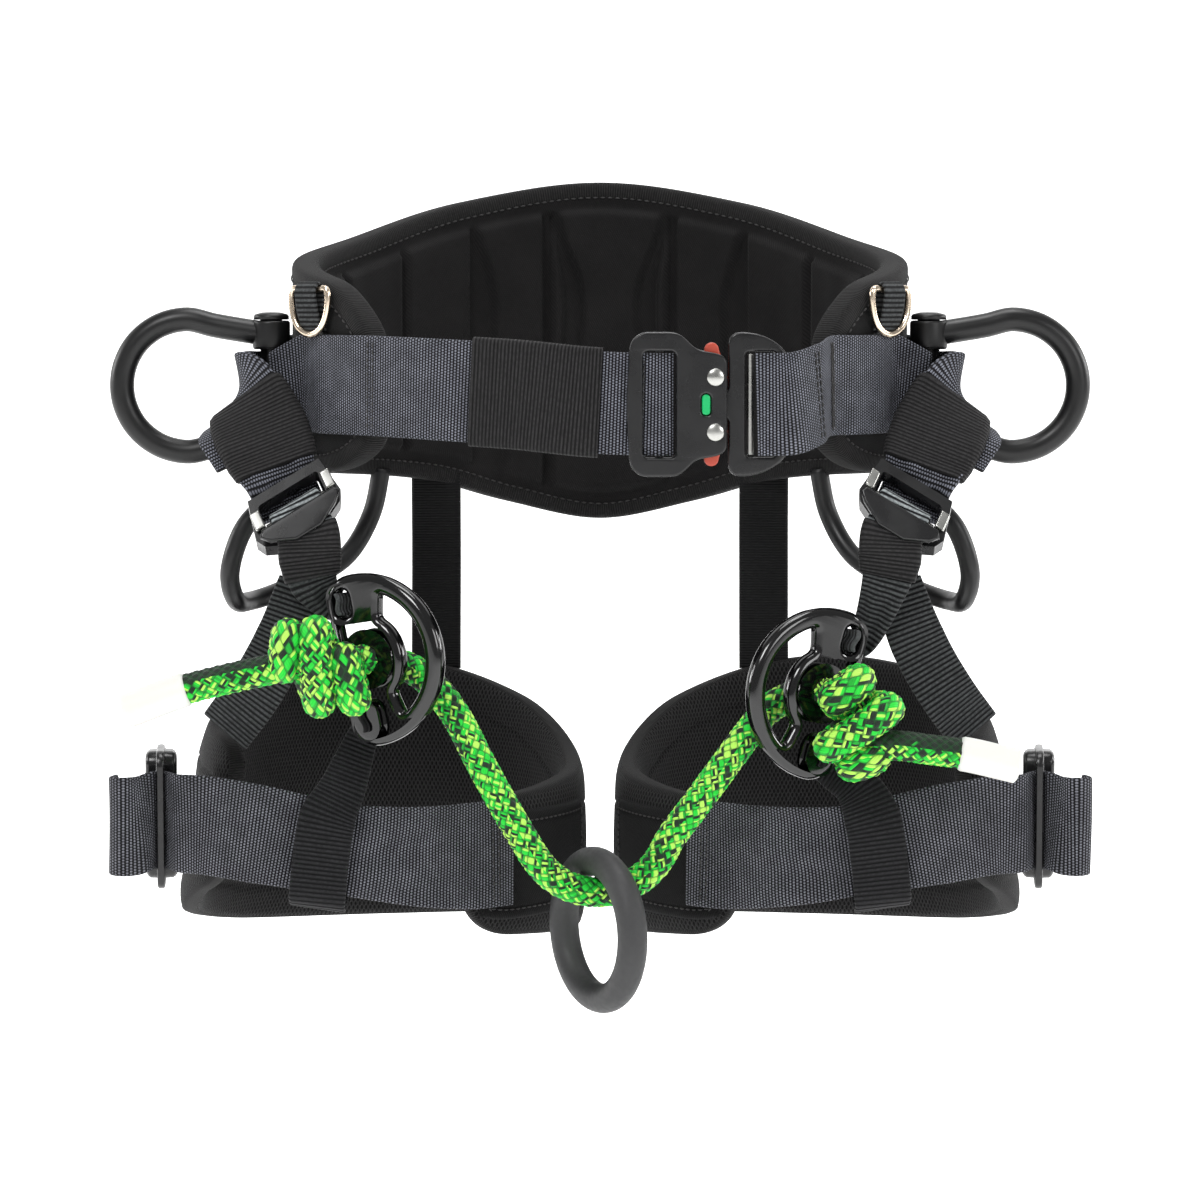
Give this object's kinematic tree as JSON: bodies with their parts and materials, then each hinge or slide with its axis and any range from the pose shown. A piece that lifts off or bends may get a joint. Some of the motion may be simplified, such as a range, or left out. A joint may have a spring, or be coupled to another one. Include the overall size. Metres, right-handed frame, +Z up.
{
  "type": "tree climbing saddle",
  "caption": "Padded waist belt and leg loops with side rings, quick buckles, strap adjusters and a knotted rope bridge with a sliding ring.",
  "frame": {"origin": "centre of the waist opening, at the middle height of the waist belt", "axes": "+Z up, -Y towards the front of the wearer, +X to the wearer's left, which is the right of somebody facing the saddle"},
  "size_m": [0.4444, 0.2649, 0.3672],
  "materials": {
    "pad_mesh": "black spacer mesh over foam, matt",
    "pad_shell": "black woven nylon with bound edges",
    "grey_webbing": "charcoal and grey dotted polyester webbing",
    "ribbed_webbing": "dark ribbed webbing with grey cross ribs",
    "flat_webbing": "plain black webbing",
    "elastic": "charcoal ribbed elastic",
    "black_buckle": "black anodised, bright chamfered edges",
    "satin_black": "satin black anodised forging",
    "gloss_black": "polished black anodised",
    "bright_steel": "bright zinc plated steel",
    "small_ring_steel": "plated steel with a warm tint",
    "red_lever": "red orange lacquered lever",
    "green_signal": "green lock signal",
    "bridge_rope": "green, lime and black braided rope",
    "white_sleeve": "white heat shrunk sleeve",
    "grey_anodised": "matt grey hard anodised",
    "black_hose": "black semi-gloss hose"
  },
  "bodies": {
    "saddle": {"waist_foam": "pad_mesh", "waist_shell": "pad_shell", "rear_belt": "grey_webbing", "belt_left": "grey_webbing", "belt_keeper": "elastic", "belt_right": "grey_webbing", "buckle_front_plate": "black_buckle", "buckle_rear_plate": "black_buckle", "buckle_belt_bar": "black_buckle", "buckle_signal": "green_signal", "rivet_upper": "bright_steel", "rivet_lower": "bright_steel", "small_ring_tab_left": "ribbed_webbing", "side_bolt_left": "satin_black", "suspension_left": "grey_webbing", "suspension_keeper_left": "elastic", "adjuster_left": "black_buckle", "plate_strap_left": "ribbed_webbing", "bridge_plate_left": "gloss_black", "rope_knot_left": "bridge_rope", "rope_end_left": "white_sleeve", "rear_riser_left": "flat_webbing", "hip_riser_left": "flat_webbing", "leg_tie_left": "ribbed_webbing", "plate_riser_left": "ribbed_webbing", "small_ring_tab_right": "ribbed_webbing", "side_bolt_right": "satin_black", "suspension_right": "grey_webbing", "suspension_keeper_right": "elastic", "adjuster_right": "black_buckle", "plate_strap_right": "ribbed_webbing", "bridge_plate_right": "gloss_black", "rope_knot_right": "bridge_rope", "rope_end_right": "white_sleeve", "rear_riser_right": "flat_webbing", "hip_riser_right": "flat_webbing", "leg_tie_right": "ribbed_webbing", "plate_riser_right": "ribbed_webbing"},
    "buckle_tongue": {"buckle_tongue": "black_buckle", "tongue_belt_pin": "bright_steel"},
    "lever_upper": {"lever_upper": "red_lever"},
    "lever_lower": {"lever_lower": "red_lever"},
    "side_ring_left": {"side_ring_left": "satin_black"},
    "small_ring_left": {"small_ring_left": "small_ring_steel"},
    "gear_loop_left": {"gear_loop_left": "black_hose"},
    "adjuster_slider_left": {"adjuster_slider_left": "bright_steel"},
    "leg_loop_left": {"leg_pad_left": "pad_mesh", "leg_strap_left": "grey_webbing", "leg_buckle_left": "black_buckle"},
    "leg_tongue_left": {"leg_tongue_left": "black_buckle"},
    "side_ring_right": {"side_ring_right": "satin_black"},
    "small_ring_right": {"small_ring_right": "small_ring_steel"},
    "gear_loop_right": {"gear_loop_right": "black_hose"},
    "adjuster_slider_right": {"adjuster_slider_right": "bright_steel"},
    "leg_loop_right": {"leg_pad_right": "pad_mesh", "leg_strap_right": "grey_webbing", "leg_buckle_right": "black_buckle"},
    "leg_tongue_right": {"leg_tongue_right": "black_buckle"},
    "bridge": {"bridge_rope": "bridge_rope"},
    "bridge_ring": {"bridge_ring": "grey_anodised"}
  },
  "joints": [
    {"name": "side_ring_left_turn", "type": "hinge", "parent": "saddle", "child": "side_ring_left", "pos_m": [-0.149, -0.032, 0.0025], "axis": [0, 0, 1], "range_deg": [-45, 5]},
    {"name": "side_ring_right_turn", "type": "hinge", "parent": "saddle", "child": "side_ring_right", "pos_m": [0.149, -0.032, 0.0025], "axis": [0, 0, 1], "range_deg": [-5, 45]},
    {"name": "buckle_release", "type": "slide", "parent": "saddle", "child": "buckle_tongue", "axis": [1, 0, 0], "range_m": [0, 0.025], "deforming": ["belt_right"]},
    {"name": "lever_upper_press", "type": "hinge", "parent": "saddle", "child": "lever_upper", "pos_m": [0.0495, -0.1205, 0.0088], "axis": [0, 1, 0], "range_deg": [-9, 0], "stiffness_Nm_per_rad": 0.01},
    {"name": "lever_lower_press", "type": "hinge", "parent": "saddle", "child": "lever_lower", "pos_m": [0.0495, -0.1205, -0.0148], "axis": [0, 1, 0], "range_deg": [0, 9], "stiffness_Nm_per_rad": 0.01},
    {"name": "small_ring_left_swing", "type": "hinge", "parent": "saddle", "child": "small_ring_left", "pos_m": [-0.12936, -0.06007, 0.046], "axis": [0.788, -0.6157, 0], "range_deg": [-60, 0]},
    {"name": "small_ring_right_swing", "type": "hinge", "parent": "saddle", "child": "small_ring_right", "pos_m": [0.12936, -0.06007, 0.046], "axis": [0.788, 0.6157, 0], "range_deg": [-60, 0]},
    {"name": "gear_loop_left_lift", "type": "hinge", "parent": "saddle", "child": "gear_loop_left", "pos_m": [-0.106, 0.062, -0.046], "axis": [0.3771, 0.9257, -0.0286], "range_deg": [-3, 35], "stiffness_Nm_per_rad": 0.5},
    {"name": "gear_loop_right_lift", "type": "hinge", "parent": "saddle", "child": "gear_loop_right", "pos_m": [0.106, 0.062, -0.046], "axis": [0.3771, -0.9257, 0.0286], "range_deg": [-3, 35], "stiffness_Nm_per_rad": 0.5},
    {"name": "adjuster_left_slide", "type": "slide", "parent": "saddle", "child": "adjuster_slider_left", "axis": [-0.4091, 0.3492, 0.8431], "range_m": [0, 0.006], "deforming": ["plate_strap_left"]},
    {"name": "adjuster_right_slide", "type": "slide", "parent": "saddle", "child": "adjuster_slider_right", "axis": [0.4091, 0.3492, 0.8431], "range_m": [0, 0.006], "deforming": ["plate_strap_right"]},
    {"name": "bridge_swing", "type": "hinge", "parent": "saddle", "child": "bridge", "pos_m": [-0.002, -0.11, -0.1215], "axis": [0.9971, 0, -0.0767], "range_deg": [-75, 2], "deforming": ["bridge_rope"]},
    {"name": "bridge_ring_travel", "type": "hinge", "parent": "bridge", "child": "bridge_ring", "pos_m": [-0.001, -0.112, -0.1845], "axis": [0, 1, 0], "range_deg": [-22, 22]},
    {"name": "leg_loop_left_swing", "type": "hinge", "parent": "saddle", "child": "leg_loop_left", "pos_m": [-0.103, -0.001, -0.05], "axis": [1, 0, 0], "range_deg": [-3, 20], "deforming": ["rear_riser_left", "hip_riser_left", "leg_tie_left", "plate_riser_left"]},
    {"name": "leg_buckle_left_release", "type": "slide", "parent": "leg_loop_left", "child": "leg_tongue_left", "axis": [-0.0995, 0.995, 0], "range_m": [0, 0.018]},
    {"name": "leg_loop_right_swing", "type": "hinge", "parent": "saddle", "child": "leg_loop_right", "pos_m": [0.103, -0.001, -0.05], "axis": [1, 0, 0], "range_deg": [-3, 20], "deforming": ["rear_riser_right", "hip_riser_right", "leg_tie_right", "plate_riser_right"]},
    {"name": "leg_buckle_right_release", "type": "slide", "parent": "leg_loop_right", "child": "leg_tongue_right", "axis": [0.0995, 0.995, 0], "range_m": [0, 0.018]}
  ]
}
